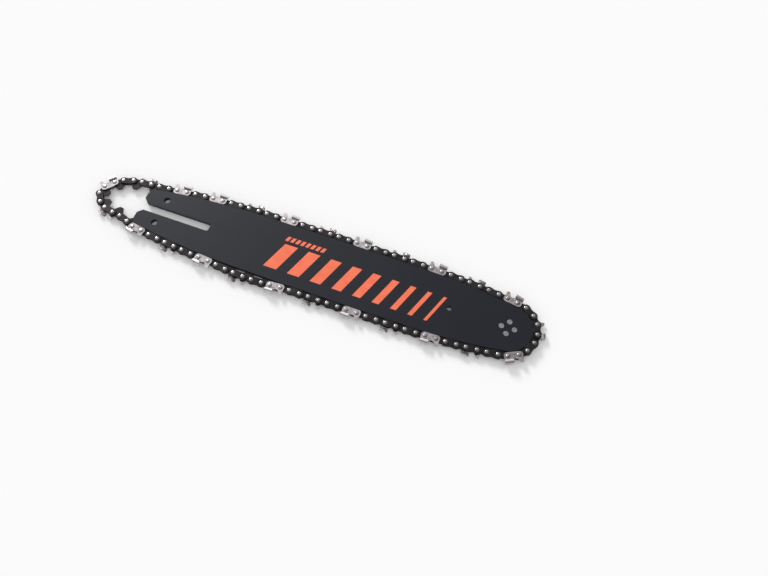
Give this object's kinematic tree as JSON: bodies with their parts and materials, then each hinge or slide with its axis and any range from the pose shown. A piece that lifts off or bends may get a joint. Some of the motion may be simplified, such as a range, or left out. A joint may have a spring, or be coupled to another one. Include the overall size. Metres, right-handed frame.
{
  "type": "chainsaw guide bar with saw chain",
  "caption": "Chainsaw guide bar with a sprocket nose, an open stud slot and a saw chain fitted in its groove, lying flat.",
  "frame": {"origin": "centre line of the open stud slot where the front bar stud seats, at half the bar's thickness", "axes": "+X along the bar towards its sprocket nose, +Y across the bar, +Z out of its upper face"},
  "size_m": [0.4526, 0.0849, 0.007],
  "materials": {
    "bar_black": "satin black coating",
    "core_steel": "satin black coating over steel",
    "cutter_chrome": "satin hard chrome",
    "chain_brown": "dark heat-treated steel",
    "rivet_steel": "bright steel",
    "nose_rivet_steel": "dull ground steel",
    "bearing_steel": "plain steel"
  },
  "bodies": {
    "bar": {"chain_rivets": "rivet_steel", "core_plate": "core_steel", "drive_links": "chain_brown", "left_cutter_01": "cutter_chrome", "left_cutter_02": "cutter_chrome", "left_cutter_03": "cutter_chrome", "left_cutter_04": "cutter_chrome", "left_cutter_05": "cutter_chrome", "left_cutter_06": "cutter_chrome", "left_cutter_07": "cutter_chrome", "left_cutter_08": "cutter_chrome", "left_cutter_09": "cutter_chrome", "left_cutter_10": "cutter_chrome", "left_cutter_11": "cutter_chrome", "left_cutter_12": "cutter_chrome", "left_cutter_13": "cutter_chrome", "lower_tie_straps": "chain_brown", "nose_drive_links": "chain_brown", "nose_hub": "bearing_steel", "nose_rivets": "nose_rivet_steel", "right_cutter_01": "cutter_chrome", "right_cutter_02": "cutter_chrome", "right_cutter_03": "cutter_chrome", "right_cutter_04": "cutter_chrome", "right_cutter_05": "cutter_chrome", "right_cutter_06": "cutter_chrome", "right_cutter_07": "cutter_chrome", "right_cutter_08": "cutter_chrome", "right_cutter_09": "cutter_chrome", "right_cutter_10": "cutter_chrome", "right_cutter_11": "cutter_chrome", "right_cutter_12": "cutter_chrome", "side_plate_lower": "bar_black", "side_plate_upper": "bar_black", "upper_tie_straps": "chain_brown"},
    "sprocket": {"nose_sprocket": "bearing_steel"},
    "rollers": {"nose_rollers": "bearing_steel"}
  },
  "joints": [
    {"name": "sprocket_spin", "type": "hinge", "parent": "bar", "child": "sprocket", "pos_m": [0.299, 0, 0], "axis": [0, 0, 1], "continuous": true, "deforming": ["nose_drive_links"]},
    {"name": "roller_orbit", "type": "hinge", "parent": "bar", "child": "rollers", "pos_m": [0.299, 0, 0], "axis": [0, 0, 1], "continuous": true}
  ],
  "couplings": [
    {"joint": "roller_orbit", "follows": "sprocket_spin", "ratio": 0.5791}
  ]
}
